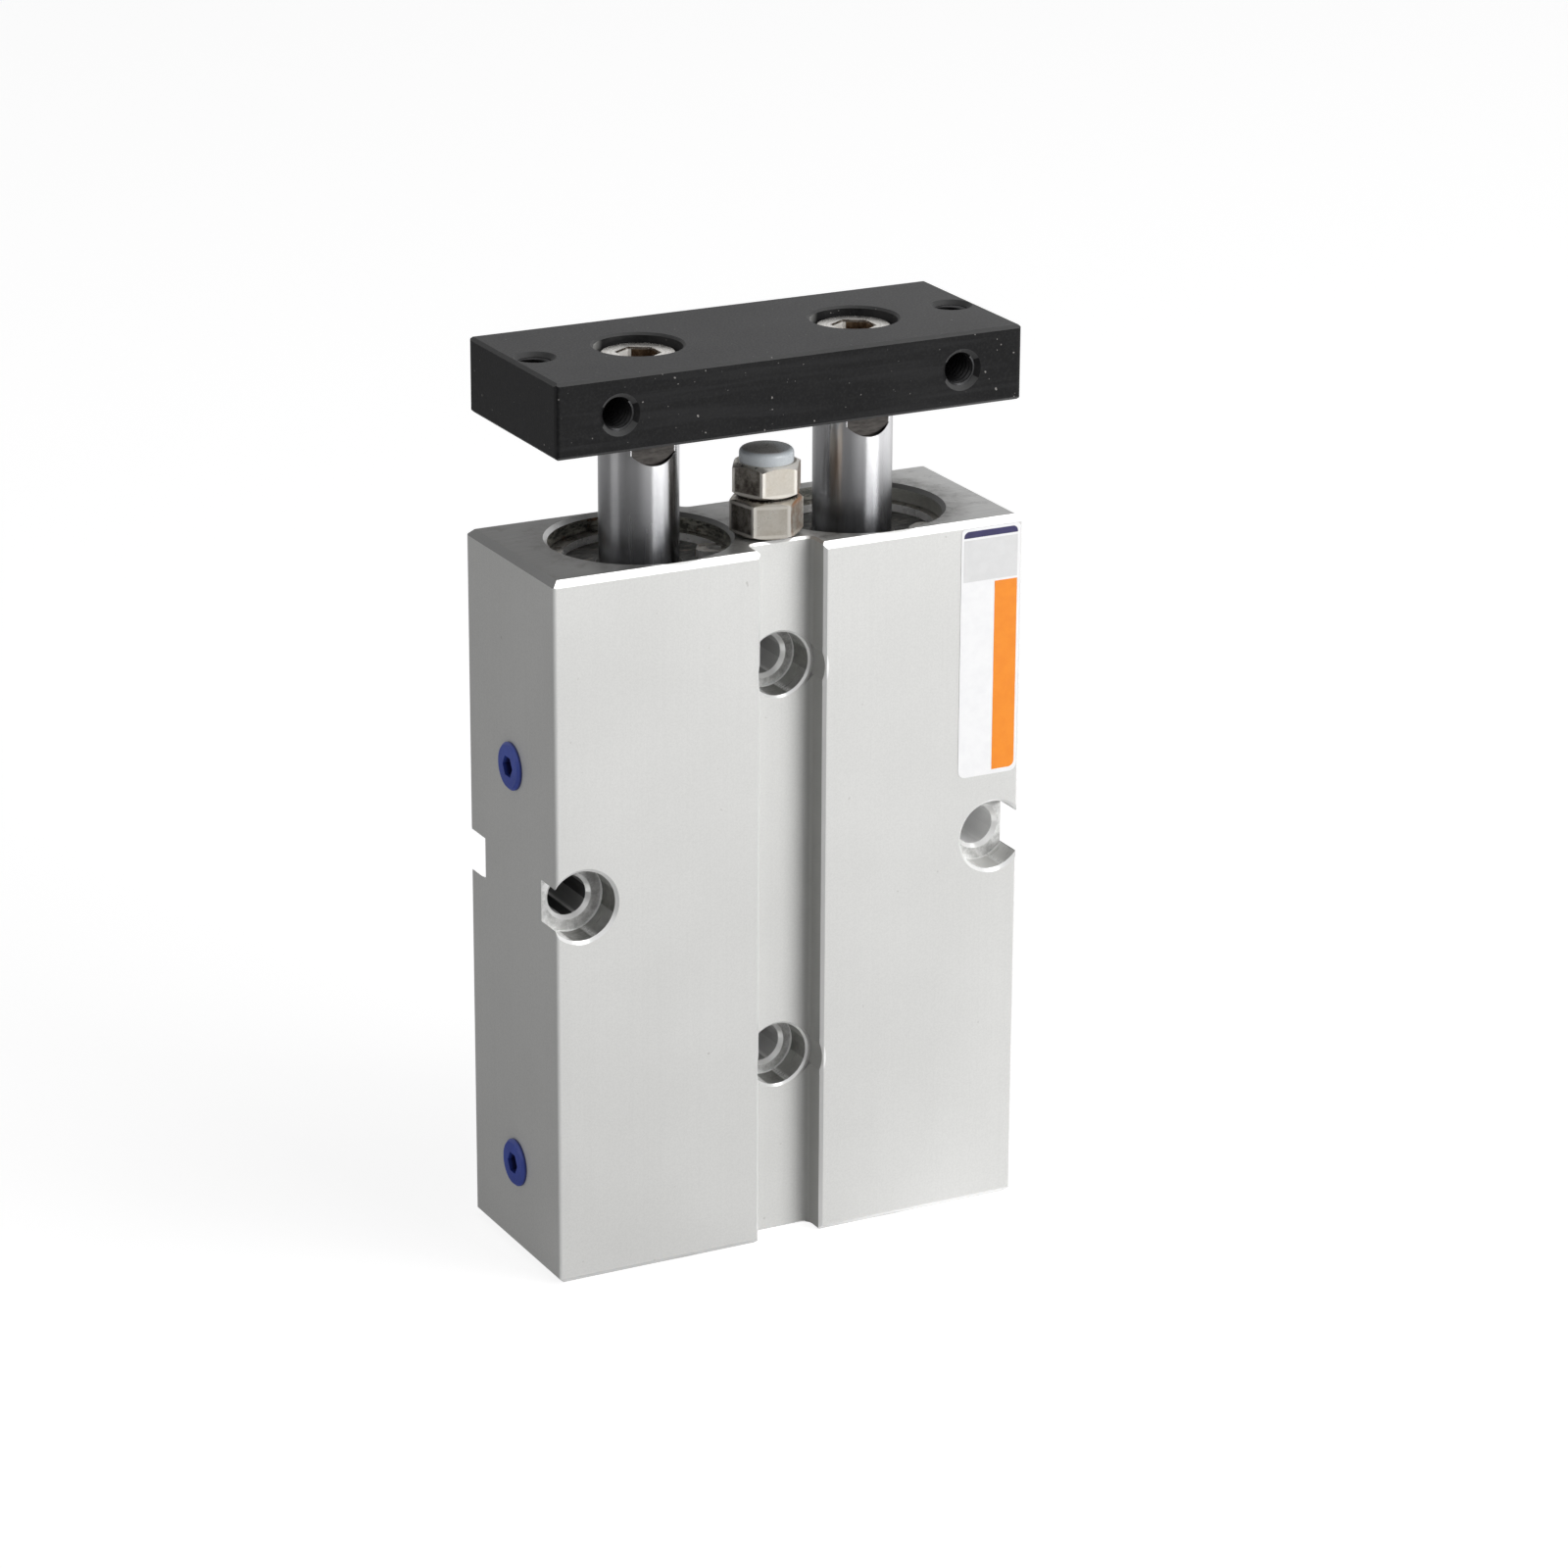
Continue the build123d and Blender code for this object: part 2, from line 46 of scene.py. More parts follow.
# The photograph's camera: where it stands, where it looks, and its focal length in pixels
IMAGE_SIZE = 1600
FOCAL_PIXELS = 5483.7
CAMERA_AZIMUTH = math.radians(27.433)
CAMERA_ELEVATION = math.radians(19.463)
CAMERA_ROLL = math.radians(0.301)
CAMERA_DISTANCE = 0.6803
CAMERA_TARGET = Vector((0.00545, 0.0, 0.05658))
SENSOR_WIDTH = 36.0

# Places read from the frame
BARREL_LOW, BARREL_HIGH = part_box("body")
PLATE_LOW, PLATE_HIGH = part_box("tooling_plate")
ROD_LOW, ROD_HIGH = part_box("piston_rod_right")
_, SCREW_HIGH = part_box("plate_screw_right")
NUT_LOW, NUT_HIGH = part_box("adjuster_locknut")
_, BOLT_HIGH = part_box("adjuster_bolt")
PAD_LOW, PAD_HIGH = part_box("adjuster_pad")
ROD_X = (ROD_LOW.x + ROD_HIGH.x) / 2
ROD_RADIUS = (ROD_HIGH.x - ROD_LOW.x) / 2
ADJUSTER_Y = (PAD_LOW.y + PAD_HIGH.y) / 2
FRONT_FACE = BARREL_LOW.y

# Depths in the barrel, measured from its middle plane, and reaches across it. Each is set close to
# the edge that it marks, so that a mask changes beside the edge and not on it.
GROOVE_FLOOR = 9.1 * MM
GROOVE_WALL = 4.0 * MM
SKIN_DEPTH = 12.2 * MM
MOUTH_DEPTH = 8.0 * MM
MOUTH_REACH = 12.0 * MM
CENTRE_HOLE_REACH = 4.8 * MM
SIDE_HOLE_REACH = 4.7 * MM
RELIEF_RADIUS = 4.7 * MM
HOLE_CHAMFER = 0.5 * MM

# How wide a mask of places fades, unless it says otherwise
SOFT = 0.1 * MM

# Reaches on the other parts: of the wrench flats below the rods' ends, of the screws' sockets and the
# plate's counterbores from a rod's axis, and of the adjuster's corners from its own
FLAT_REACH = 5.1 * MM
SOCKET_REACH = 2.9 * MM
PLATE_BORE_REACH = 5.6 * MM
ADJUSTER_CORNER = 4.5 * MM

# Mounting holes of the barrel and tapped holes of the plate, from the record's mounts
MOUNTS = {mount["name"]: mount for mount in frame["record"]["mounts"]}
CENTRE_HOLES = MOUNTS["centre_holes_front"]
SIDE_HOLES = MOUNTS["side_holes_front"]
CENTRE_HOLE_SPACING = CENTRE_HOLES["dims"]["spacing_y_mm"] * MM
CENTRE_HOLE_START = -CENTRE_HOLES["pos_m"][1]
LOWER_HOLE_Z = CENTRE_HOLES["pos_m"][2] - CENTRE_HOLE_SPACING / 2
UPPER_HOLE_Z = CENTRE_HOLES["pos_m"][2] + CENTRE_HOLE_SPACING / 2
SIDE_HOLE_START = -SIDE_HOLES["pos_m"][1]
SIDE_HOLE_X = SIDE_HOLES["dims"]["spacing_x_mm"] / 2 * MM
SIDE_HOLE_Z = SIDE_HOLES["pos_m"][2]
TOP_TAP_X = MOUNTS["plate_top_holes"]["dims"]["spacing_x_mm"] / 2 * MM
FRONT_TAP_X = MOUNTS["plate_front_holes"]["dims"]["spacing_x_mm"] / 2 * MM
TAP_Z = MOUNTS["plate_front_holes"]["pos_m"][2]

# Threads in the plate's tapped holes: their pitch, the radii of root and crest, and how far they
# stay from the holes' ends
THREAD_PITCH = 0.8 * MM
THREAD_ROOT = 2.12 * MM
THREAD_CREST = 1.88 * MM
THREAD_MARGIN = 0.6 * MM
STEPS_PER_TURN = 28

# The blank label on the front face, near its right-hand edge
LABEL_THICKNESS = 0.06 * MM
PRINT_THICKNESS = 0.02 * MM
LABEL_RIGHT = BARREL_HIGH.x - 0.4 * MM
LABEL_LEFT = LABEL_RIGHT - 8.4 * MM
LABEL_LOW = 58.4 * MM
LABEL_HIGH = 91.1 * MM
ROUNDING_STEPS = 8


# Camera


def make_camera():
    """The camera at the photograph's viewing angle."""
    level = math.cos(CAMERA_ELEVATION)
    back = Vector(
        (-math.sin(CAMERA_AZIMUTH) * level, -math.cos(CAMERA_AZIMUTH) * level, math.sin(CAMERA_ELEVATION))
    )
    right = Vector((math.cos(CAMERA_AZIMUTH), -math.sin(CAMERA_AZIMUTH), 0.0))
    up = back.cross(right)
    turn = Matrix.Rotation(CAMERA_ROLL, 3, back)
    right = turn @ right
    up = turn @ up
    data = bpy.data.cameras.new("camera")
    data.sensor_width = SENSOR_WIDTH
    data.lens = FOCAL_PIXELS / IMAGE_SIZE * SENSOR_WIDTH
    data.clip_start = 0.01
    data.clip_end = 20.0
    camera = bpy.data.objects.new("camera", data)
    place = CAMERA_TARGET + back * CAMERA_DISTANCE
    camera.matrix_world = Matrix(
        (
            (right.x, up.x, back.x, place.x),
            (right.y, up.y, back.y, place.y),
            (right.z, up.z, back.z, place.z),
            (0.0, 0.0, 0.0, 1.0),
        )
    )
    bpy.context.scene.collection.objects.link(camera)
    bpy.context.scene.camera = camera


# Materials


class Surface:
    """A material, with short calls for the nodes that it is made of."""

    def __init__(self, name, metallic=0.0):
        self.material = bpy.data.materials.new(name)
        self.material.use_nodes = True
        self.tree = self.material.node_tree
        self.tree.nodes.clear()
        coordinates = self.node("ShaderNodeTexCoord")
        self.place = coordinates.outputs["Object"]
        self.facing = coordinates.outputs["Normal"]
        self.shader = self.node("ShaderNodeBsdfPrincipled")
        self.shader.inputs["Metallic"].default_value = metallic
        output = self.node("ShaderNodeOutputMaterial")
        self.tree.links.new(self.shader.outputs["BSDF"], output.inputs["Surface"])

    def node(self, kind, **settings):
        made = self.tree.nodes.new(kind)
        for name, value in settings.items():
            setattr(made, name, value)
        return made

    def feed(self, socket, value):
        """Link an output to a socket, or set the socket to a plain value."""
        if isinstance(value, bpy.types.NodeSocket):
            self.tree.links.new(value, socket)
        elif isinstance(value, tuple) and len(value) == 3 and socket.type == "RGBA":
            socket.default_value = (*value, 1.0)
        else:
            socket.default_value = value

    def math(self, operation, first, second=0.0):
        made = self.node("ShaderNodeMath", operation=operation)
        self.feed(made.inputs[0], first)
        self.feed(made.inputs[1], second)
        return made.outputs[0]

    def chain(self, operation, values):
        """Several values taken together, two at a time."""
        result = values[0]
        for value in values[1:]:
            result = self.math(operation, result, value)
        return result

    def total(self, *values):
        return self.chain("ADD", values)

    def product(self, *values):
        return self.chain("MULTIPLY", values)

    def least(self, *values):
        return self.chain("MINIMUM", values)

    def greatest(self, *values):
        return self.chain("MAXIMUM", values)

    def away(self, value, place=0.0):
        """How far a value is from a place, or from zero, to either side."""
        return self.math("ABSOLUTE", self.math("SUBTRACT", value, place))

    def axes(self, vector):
        """The three parts of a vector."""
        made = self.node("ShaderNodeSeparateXYZ")
        self.feed(made.inputs[0], vector)
        return made.outputs

    def noise(self, scale, detail=3.0, roughness=0.5, vector=None):
        made = self.node("ShaderNodeTexNoise")
        self.feed(made.inputs["Vector"], self.place if vector is None else vector)
        made.inputs["Scale"].default_value = scale
        made.inputs["Detail"].default_value = detail
        made.inputs["Roughness"].default_value = roughness
        return made.outputs["Fac"]

    def streaks(self, scales, detail=3.0, roughness=0.5):
        """Noise with its own fineness along each axis."""
        made = self.node("ShaderNodeVectorMath", operation="MULTIPLY")
        self.feed(made.inputs[0], self.place)
        made.inputs[1].default_value = scales
        return self.noise(1.0, detail, roughness, made.outputs[0])

    def rings(self, scale):
        """Noise in rings about each rod's axis, as a lathe leaves them."""
        return self.noise(1.0, detail=2.0, vector=self.product(self.rod_distance(), scale))

    def ramp(self, value, low, high, from_value=0.0, to_value=1.0):
        """A value mapped so that low gives from_value and high gives to_value, held beyond them."""
        made = self.node("ShaderNodeMapRange")
        self.feed(made.inputs["Value"], value)
        made.inputs["From Min"].default_value = low
        made.inputs["From Max"].default_value = high
        made.inputs["To Min"].default_value = from_value
        made.inputs["To Max"].default_value = to_value
        return made.outputs["Result"]

    def mix(self, factor, first, second):
        """A colour between two others."""
        made = self.node("ShaderNodeMix", data_type="RGBA")
        self.feed(made.inputs[0], factor)
        self.feed(made.inputs[6], first)
        self.feed(made.inputs[7], second)
        return made.outputs[2]

    def mix_value(self, factor, first, second):
        """A number between two others."""
        made = self.node("ShaderNodeMix", data_type="FLOAT")
        self.feed(made.inputs[0], factor)
        self.feed(made.inputs[2], first)
        self.feed(made.inputs[3], second)
        return made.outputs[0]

    def below(self, value, limit, soft=SOFT):
        """One up to a limit, and fading to zero just beyond it."""
        return self.ramp(value, limit + soft, limit)

    def above(self, value, limit, soft=SOFT):
        """One from a limit on, and fading to zero just before it."""
        return self.ramp(value, limit - soft, limit)

    def band(self, value, low, high, soft=0.03):
        """One between two values, and fading to zero just outside them."""
        return self.product(self.above(value, low, soft), self.below(value, high, soft))

    def square_to(self, facing):
        """One on faces square to an axis, from how much they face along it."""
        return self.ramp(facing, 0.93, 0.97)

    def slanted_to(self, facing):
        """One on chamfers, which lie at a slant to an axis."""
        return self.band(facing, 0.35, 0.93)

    def along(self, facing):
        """One on walls that run along an axis."""
        return self.ramp(facing, 0.3, 0.1)

    def length(self, first, second):
        """Length of a vector given by two of its parts."""
        squares = self.total(self.product(first, first), self.product(second, second))
        return self.math("SQRT", squares)

    def rod_distance(self):
        """Distance from the nearer rod's axis."""
        x, y, _ = self.axes(self.place)
        return self.length(self.math("SUBTRACT", self.away(x), ROD_X), y)

    def from_axis_x(self):
        """Distance to the right of the nearer rod's axis, negative at its left."""
        x, _, _ = self.axes(self.place)
        return self.math("SUBTRACT", x, self.product(self.math("SIGN", x), ROD_X))

    def grey(self, value):
        """A grey of the given brightness."""
        made = self.node("ShaderNodeCombineColor")
        for socket in made.inputs:
            self.feed(socket, value)
        return made.outputs[0]

    def color(self, value):
        self.feed(self.shader.inputs["Base Color"], value)

    def metallic(self, value):
        self.feed(self.shader.inputs["Metallic"], value)

    def roughness(self, value):
        self.feed(self.shader.inputs["Roughness"], value)

    def bump(self, height, strength, distance):
        made = self.node("ShaderNodeBump")
        made.inputs["Strength"].default_value = strength
        made.inputs["Distance"].default_value = distance
        self.feed(made.inputs["Height"], height)
        self.tree.links.new(made.outputs["Normal"], self.shader.inputs["Normal"])


class BarrelSurface(Surface):
    """The barrel's surface, with masks for its regions: where they are and which way they face."""

    def __init__(self):
        super().__init__("barrel_anodised", metallic=0.3)
        self.x, y, self.z = self.axes(self.place)
        self.facing_x, facing_y, facing_z = self.axes(self.facing)
        self.depth = self.away(y)
        self.out = self.away(facing_y)
        self.up = self.away(facing_z)
        self.from_rod = self.rod_distance()
        self.middle = self.band(self.z, BARREL_LOW.z + MOUTH_DEPTH, BARREL_HIGH.z - MOUTH_DEPTH, SOFT)
        self.end_face = self.square_to(self.up)
        self.find_holes()
        self.find_groove()
        self.find_edges()
        self.find_mouths()
        self.machined = self.greatest(self.end_face, self.in_hole)

    def find_holes(self):
        """The counterbores with all that is in them, their floors and edges, and the holes beyond."""
        across = self.away(self.x)
        self.centre = self.below(across, CENTRE_HOLE_REACH)
        from_side_hole = self.length(self.away(across, SIDE_HOLE_X), self.away(self.z, SIDE_HOLE_Z))
        inside = self.below(across, BARREL_HIGH.x - 0.06 * MM, 0.04 * MM)
        side = self.product(self.below(from_side_hole, SIDE_HOLE_REACH, 0.3 * MM), inside)
        under_groove = self.below(self.depth, GROOVE_FLOOR - 0.03 * MM, 0.02 * MM)
        under_skin = self.below(self.depth, SKIN_DEPTH + 0.3 * MM)
        both = self.greatest(self.product(side, under_skin), self.product(self.centre, under_groove))
        self.in_hole = self.product(both, self.middle)
        self.shelf = self.product(self.in_hole, self.square_to(self.out))
        deep_centre = self.product(self.centre, self.below(self.depth, CENTRE_HOLE_START))
        deep_side = self.product(side, self.below(self.depth, SIDE_HOLE_START))
        self.deep = self.product(self.greatest(deep_centre, deep_side), self.middle)
        slope = self.product(under_groove, self.slanted_to(self.out))
        self.hole_edge = self.product(self.middle, self.greatest(self.centre, side), slope)
        centre_foot = self.product(self.centre, self.foot_of_wall(CENTRE_HOLE_START))
        side_foot = self.product(side, self.foot_of_wall(SIDE_HOLE_START))
        wall = self.product(self.in_hole, self.along(self.out))
        # Where a painted highlight lines the foot of each counterbore's wall.
        self.wall_foot_highlight = self.product(wall, self.greatest(centre_foot, side_foot))

    def foot_of_wall(self, hole_start):
        """A thin band where a counterbore's wall meets its floor, for a painted highlight."""
        low = hole_start + HOLE_CHAMFER
        return self.band(self.depth, low, low + 0.38 * MM, 0.05 * MM)

    def find_groove(self):
        """The groove's wall that faces left, for painted shade, and where the holes' reliefs cut into its
        right-hand lip, for a painted highlight.
        """
        in_groove = self.band(self.depth, GROOVE_FLOOR - 0.05 * MM, SKIN_DEPTH + 0.05 * MM, 0.05 * MM)
        turned_left = self.ramp(self.facing_x, -0.05, -0.7)
        # Painted shade on the groove's wall that faces left.
        self.groove_wall_shade = self.product(in_groove, self.centre, turned_left)
        nearer = self.least(self.away(self.z, LOWER_HOLE_Z), self.away(self.z, UPPER_HOLE_Z))
        from_hole = self.length(self.x, nearer)
        rim = self.band(from_hole, RELIEF_RADIUS, RELIEF_RADIUS + 0.3 * MM, 0.05 * MM)
        at_skin = self.above(self.depth, SKIN_DEPTH + 0.1 * MM)
        # A painted highlight where a relief cuts the groove's lip.
        self.lip_highlight = self.product(rim, at_skin, self.above(self.x, GROOVE_WALL, 0.5 * MM))

    def find_edges(self):
        """The broken edges: bright as bare metal and partly as a painted highlight, with painted shade
        dimming the left end edges and most of the mouths' rims, which keep a painted highlight only at
        the left of each rod.
        """
        end_slope = self.slanted_to(self.up)
        long_edge = self.product(self.above(self.depth, SKIN_DEPTH + 0.1 * MM), self.slanted_to(self.out))
        # The mouths' rims stay bright only at the left of each rod, as a painted highlight.
        rim_highlight = self.ramp(self.from_axis_x(), -3.0 * MM, -8.0 * MM, 0.05, 1.0)
        on_rim = self.below(self.from_rod, MOUTH_REACH + 0.1 * MM)
        lit = self.mix_value(on_rim, 1.0, rim_highlight)
        # Chamfers turned to the left are dimmed as painted shade.
        end_edge = self.product(end_slope, self.ramp(self.facing_x, -0.5, -0.3, 0.2, 1.0), lit)
        self.edge = self.greatest(end_edge, self.hole_edge, long_edge)
        # The left end edges, darkened further as painted shade.
        self.left_edge_shade = self.product(end_slope, self.ramp(self.facing_x, -0.3, -0.5))

    def find_mouths(self):
        """The mouths' walls, and the end faces' soiled zone round them."""
        in_mouth = self.product(self.below(self.from_rod, MOUTH_REACH), self.along(self.up))
        self.mouth = self.product(in_mouth, self.math("SUBTRACT", 1.0, self.middle))
        near_mouth = self.ramp(self.from_rod, MOUTH_REACH + 3.5 * MM, MOUTH_REACH - 0.4 * MM)
        self.soiled = self.product(near_mouth, self.end_face)


def anodised_colour(s, clouds, grain, drawn):
    """Pale anodised skin, with painted shade on the groove's wall that faces left and on the left-hand
    end edges.
    """
    specks = s.noise(900.0, detail=1.0)
    skin = s.mix(s.ramp(clouds, 0.3, 0.7), (0.665, 0.665, 0.65), (0.705, 0.705, 0.69))
    skin = s.mix(s.ramp(grain, 0.35, 0.65, 0.0, 0.14), skin, (0.45, 0.45, 0.44))
    skin = s.mix(s.ramp(drawn, 0.35, 0.7, 0.0, 0.08), skin, (0.52, 0.52, 0.51))
    skin = s.mix(s.ramp(specks, 0.80, 0.84, 0.0, 0.5), skin, (0.38, 0.37, 0.35))
    # Painted shade on the groove's wall that faces left.
    skin = s.mix(s.product(s.groove_wall_shade, 0.75), skin, (0.25, 0.25, 0.24))
    # Painted shade on the left-hand end edges.
    return s.mix(s.product(s.left_edge_shade, 0.95), skin, (0.06, 0.06, 0.057))


def machined_colour(s, cut_marks, blotches):
    """Bare cut metal: the stained end faces, darker towards the left as painted shade, and the holes'
    walls, floors and depths, with walls and depths painted dark as shade and lighter towards the right as
    painted light.
    """
    # The end faces are darker towards the left as painted shade.
    cut_in_shade = s.mix(s.ramp(cut_marks, 0.3, 0.7), (0.085, 0.085, 0.08), (0.19, 0.187, 0.177))
    cut_in_light = s.mix(s.ramp(cut_marks, 0.3, 0.7), (0.58, 0.58, 0.57), (0.76, 0.76, 0.745))
    cut = s.mix(s.ramp(s.x, BARREL_LOW.x, BARREL_HIGH.x), cut_in_shade, cut_in_light)
    stains = s.product(s.ramp(blotches, 0.54, 0.66), s.ramp(s.x, 0.0, 20.0 * MM, 0.8, 0.3))
    cut = s.mix(stains, cut, (0.11, 0.105, 0.095))
    dirt = s.total(s.ramp(blotches, 0.35, 0.62, 0.0, 0.6), 0.25)
    cut = s.mix(s.product(s.soiled, dirt), cut, (0.055, 0.05, 0.042))
    # The holes' walls are painted dark as shade, and lighter towards the right as painted light.
    wall = s.mix(s.ramp(blotches, 0.4, 0.6), (0.11, 0.11, 0.10), (0.21, 0.21, 0.195))
    wall = s.mix(s.ramp(s.x, 0.0, SIDE_HOLE_X, 0.0, 0.8), wall, (0.72, 0.72, 0.70))
    shelf = s.mix(s.ramp(blotches, 0.35, 0.6), (0.85, 0.85, 0.84), (0.42, 0.42, 0.41))
    cut = s.mix(s.in_hole, cut, wall)
    cut = s.mix(s.shelf, cut, shelf)
    # The holes' depths: near black at the left as painted shade, lighter towards the right as painted
    # light.
    depth_light = s.ramp(s.x, -SIDE_HOLE_X, SIDE_HOLE_X, 0.01, 0.8)
    return s.mix(s.deep, cut, s.grey(depth_light))


def mouth_colour(s, blotches):
    """Oily, smeared mouth walls, with rust in the left one and paler in the right one."""
    fibres = s.streaks((700.0, 700.0, 1700.0), detail=6.0, roughness=0.75)
    oily = s.mix(s.ramp(fibres, 0.42, 0.62), (0.035, 0.035, 0.028), (0.34, 0.335, 0.29))
    rusty = s.product(s.ramp(blotches, 0.55, 0.64, 0.0, 0.8), s.ramp(s.x, 0.0, -12.0 * MM))
    oily = s.mix(rusty, oily, (0.22, 0.11, 0.05))
    return s.mix(s.ramp(s.x, 10.0 * MM, 22.0 * MM, 0.0, 0.8), oily, (0.42, 0.42, 0.39))


def barrel_material():
    """Fine matte anodising, with machined ends and counterbores, bright broken edges, and painted
    highlights and shade.
    """
    s = BarrelSurface()
    clouds = s.noise(60.0, detail=4.0)
    grain = s.noise(4200.0, detail=2.0)
    drawn = s.streaks((2600.0, 2600.0, 18.0))
    cut_marks = s.streaks((160.0, 3200.0, 400.0), detail=4.0)
    blotches = s.noise(420.0, detail=6.0, roughness=0.75)
    cut = machined_colour(s, cut_marks, blotches)
    colour = s.mix(s.machined, anodised_colour(s, clouds, grain, drawn), cut)
    colour = s.mix(s.mouth, colour, mouth_colour(s, blotches))
    # Broken edges bright as bare metal and partly as a painted highlight, with painted highlights at the
    # counterbores' wall feet and on the groove's lip.
    s.color(s.mix(s.greatest(s.edge, s.wall_foot_highlight, s.lip_highlight), colour, (0.93, 0.93, 0.92)))
    cut_roughness = s.mix_value(s.deep, s.ramp(cut_marks, 0.3, 0.7, 0.28, 0.42), 0.8)
    roughness = s.mix_value(s.machined, s.ramp(grain, 0.3, 0.7, 0.40, 0.52), cut_roughness)
    s.roughness(s.mix_value(s.edge, roughness, 0.22))
    relief = s.total(grain, s.product(drawn, 0.5))
    s.bump(s.mix_value(s.machined, relief, s.product(cut_marks, 1.4)), 0.25, 0.03 * MM)
    return s.material


def turned_metal(name, colour, dark):
    """Lathe-turned metal with fine rings about each rod's axis."""
    s = Surface(name, metallic=1.0)
    rings = s.rings(9000.0)
    stains = s.noise(500.0, detail=4.0, roughness=0.6)
    base = s.mix(s.ramp(rings, 0.35, 0.65), dark, colour)
    s.color(s.mix(s.ramp(stains, 0.55, 0.75, 0.0, 0.5), base, dark))
    s.roughness(s.ramp(rings, 0.3, 0.7, 0.25, 0.42))
    s.bump(rings, 0.2, 0.02 * MM)
    return s.material


def bearing_material():
    """Rod cover: dark oily bearing alloy with brown smears and a brighter lip round the rod."""
    s = Surface("bearing_alloy", metallic=0.25)
    s.shader.inputs["Specular IOR Level"].default_value = 0.2
    rings = s.rings(7000.0)
    smears = s.streaks((420.0, 900.0, 500.0), detail=6.0, roughness=0.7)
    base = s.mix(s.ramp(rings, 0.35, 0.65), (0.03, 0.03, 0.026), (0.075, 0.072, 0.064))
    base = s.mix(s.ramp(smears, 0.48, 0.58, 0.0, 0.9), base, (0.012, 0.011, 0.009))
    base = s.mix(s.ramp(smears, 0.43, 0.34, 0.0, 0.8), base, (0.26, 0.21, 0.155))
    lip = s.band(s.rod_distance(), ROD_RADIUS, ROD_RADIUS + 0.35 * MM, SOFT)
    s.color(s.mix(s.product(lip, 0.6), base, (0.4, 0.385, 0.36)))
    s.roughness(s.ramp(smears, 0.3, 0.7, 0.36, 0.55))
    s.bump(smears, 0.3, 0.05 * MM)
    return s.material


def chrome_material():
    """Ground and chromed rod, darker towards the barrel as a painted dark reflection, with milled dark
    flats at its top.
    """
    s = Surface("rod_chrome", metallic=1.0)
    _, _, z = s.axes(s.place)
    ground = s.streaks((120.0, 120.0, 9000.0), detail=2.0)
    wipes = s.streaks((500.0, 500.0, 25.0))
    milling = s.streaks((900.0, 900.0, 3800.0))
    cut_in = s.below(s.rod_distance(), ROD_RADIUS - 0.08 * MM, 0.05 * MM)
    flat = s.product(cut_in, s.above(z, ROD_HIGH.z - FLAT_REACH))
    chrome = s.mix(s.ramp(wipes, 0.35, 0.7), (0.80, 0.80, 0.815), (0.70, 0.70, 0.71))
    milled = s.mix(s.ramp(milling, 0.35, 0.65), (0.042, 0.039, 0.037), (0.07, 0.065, 0.061))
    # Darker towards the barrel: a painted reflection of the dark mouth and barrel top.
    streaked_z = s.total(z, s.product(wipes, 4.0 * MM))
    painted_low_reflection = s.ramp(streaked_z, BARREL_HIGH.z + 1.0 * MM, BARREL_HIGH.z + 12.0 * MM, 0.85, 0.0)
    chrome = s.mix(painted_low_reflection, chrome, (0.17, 0.175, 0.19))
    s.color(s.mix(flat, chrome, milled))
    s.roughness(s.mix_value(flat, s.ramp(wipes, 0.3, 0.7, 0.22, 0.29), 0.5))
    s.shader.inputs["Anisotropic"].default_value = 0.85
    s.shader.inputs["Anisotropic Rotation"].default_value = 0.25
    tangent = s.node("ShaderNodeTangent", direction_type="RADIAL", axis="Z")
    s.feed(s.shader.inputs["Tangent"], tangent.outputs["Tangent"])
    s.bump(s.mix_value(flat, ground, milling), 0.02, 0.006 * MM)
    return s.material


def ring_steel_material():
    """Oiled spring steel, its edges nearly white: partly bare stamped steel, partly a painted highlight.
    """
    s = Surface("ring_steel")
    patches = s.noise(700.0, detail=4.0)
    _, _, up = s.axes(s.facing)
    # Edges nearly white and barely metallic: partly bare stamped steel, partly a painted highlight.
    rim = s.ramp(s.away(up), 0.8, 0.3)
    base = s.mix(s.ramp(patches, 0.35, 0.7), (0.16, 0.15, 0.135), (0.33, 0.31, 0.28))
    base = s.mix(s.ramp(patches, 0.36, 0.28, 0.0, 0.7), base, (0.30, 0.20, 0.12))
    s.color(s.mix(rim, base, (0.95, 0.94, 0.92)))
    s.metallic(s.mix_value(rim, 0.8, 0.2))
    s.roughness(s.ramp(patches, 0.3, 0.7, 0.22, 0.4))
    s.bump(patches, 0.15, 0.03 * MM)
    return s.material


